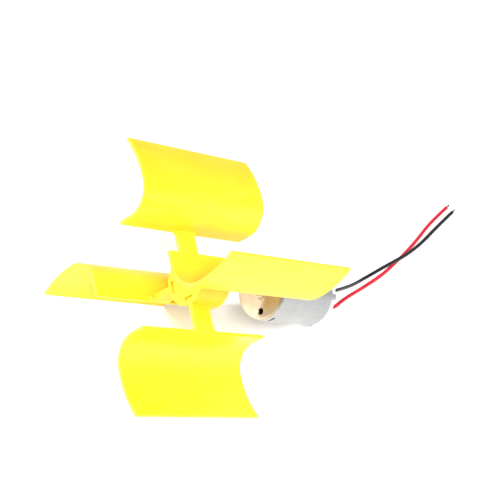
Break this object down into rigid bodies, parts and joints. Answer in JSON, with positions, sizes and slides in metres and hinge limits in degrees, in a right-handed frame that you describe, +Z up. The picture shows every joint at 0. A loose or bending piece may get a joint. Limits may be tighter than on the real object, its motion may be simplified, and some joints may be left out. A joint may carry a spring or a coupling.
{
  "type": "dc motor with paddle wheel",
  "caption": "Small brushed dc motor in a round steel can, a long thin shaft carrying a hub with hooked paddles, and two free leads.",
  "frame": {"origin": "centre of the footprint box of the rigid parts, on the table the part lies on", "axes": "+Z up from the table; the spin axis lies in the YZ plane, its wheel end toward -Y and raised; the leads run toward +Y"},
  "size_m": [0.0698, 0.191, 0.0911],
  "materials": {
    "can_steel": "satin nickel-look plated drawn steel",
    "cap_nylon": "natural white moulded nylon",
    "sintered_bronze": "oil-impregnated sintered bronze",
    "ferrite": "dark ground ferrite",
    "spring_steel": "bare spring steel",
    "tinned_brass": "tinned brass tab",
    "leaf_bronze": "phosphor bronze leaf",
    "carbon": "pressed metal-graphite",
    "solder": "shiny solder",
    "wire_black": "soft matt pvc",
    "wire_red": "soft matt pvc",
    "tinned_copper": "twisted tinned strands",
    "shaft_steel": "ground bright steel",
    "lamination": "stacked electrical steel",
    "insulator": "green fibre",
    "enamelled_copper": "enamelled winding wire",
    "phenolic": "dark phenolic",
    "bare_copper": "turned copper",
    "varistor": "grey ceramic ring",
    "spacer_brass": "turned brass",
    "nylon_washer": "natural nylon",
    "yellow_abs": "semi-gloss bright yellow moulding"
  },
  "bodies": {
    "stator": {"motor_can": "can_steel", "end_cap": "cap_nylon", "front_bush": "sintered_bronze", "rear_bush": "sintered_bronze", "magnet_a": "ferrite", "magnet_b": "ferrite", "magnet_clip_a": "spring_steel", "magnet_clip_b": "spring_steel", "terminal_a": "tinned_brass", "terminal_b": "tinned_brass", "brush_arm_a": "leaf_bronze", "brush_arm_b": "leaf_bronze", "brush_a": "carbon", "brush_b": "carbon", "solder_black": "solder", "solder_red": "solder", "wire_black": "wire_black", "wire_red": "wire_red", "strand_black": "tinned_copper", "strand_red": "tinned_copper"},
    "rotor": {"shaft": "shaft_steel", "rotor_core": "lamination", "insulator_front": "insulator", "insulator_rear": "insulator", "coil_1": "enamelled_copper", "coil_2": "enamelled_copper", "coil_3": "enamelled_copper", "commutator_base": "phenolic", "commutator_segment_1": "bare_copper", "commutator_segment_2": "bare_copper", "commutator_segment_3": "bare_copper", "varistor_ring": "varistor", "front_spacer": "spacer_brass", "thrust_washer_front": "nylon_washer", "thrust_washer_rear": "nylon_washer", "hub": "yellow_abs", "blade_1": "yellow_abs", "blade_2": "yellow_abs", "blade_3": "yellow_abs", "blade_4": "yellow_abs"}
  },
  "joints": [
    {"name": "wheel_spin", "type": "hinge", "parent": "stator", "child": "rotor", "pos_m": [0, -0.00957, 0.04556], "axis": [0, -0.8423, 0.539], "continuous": true}
  ]
}
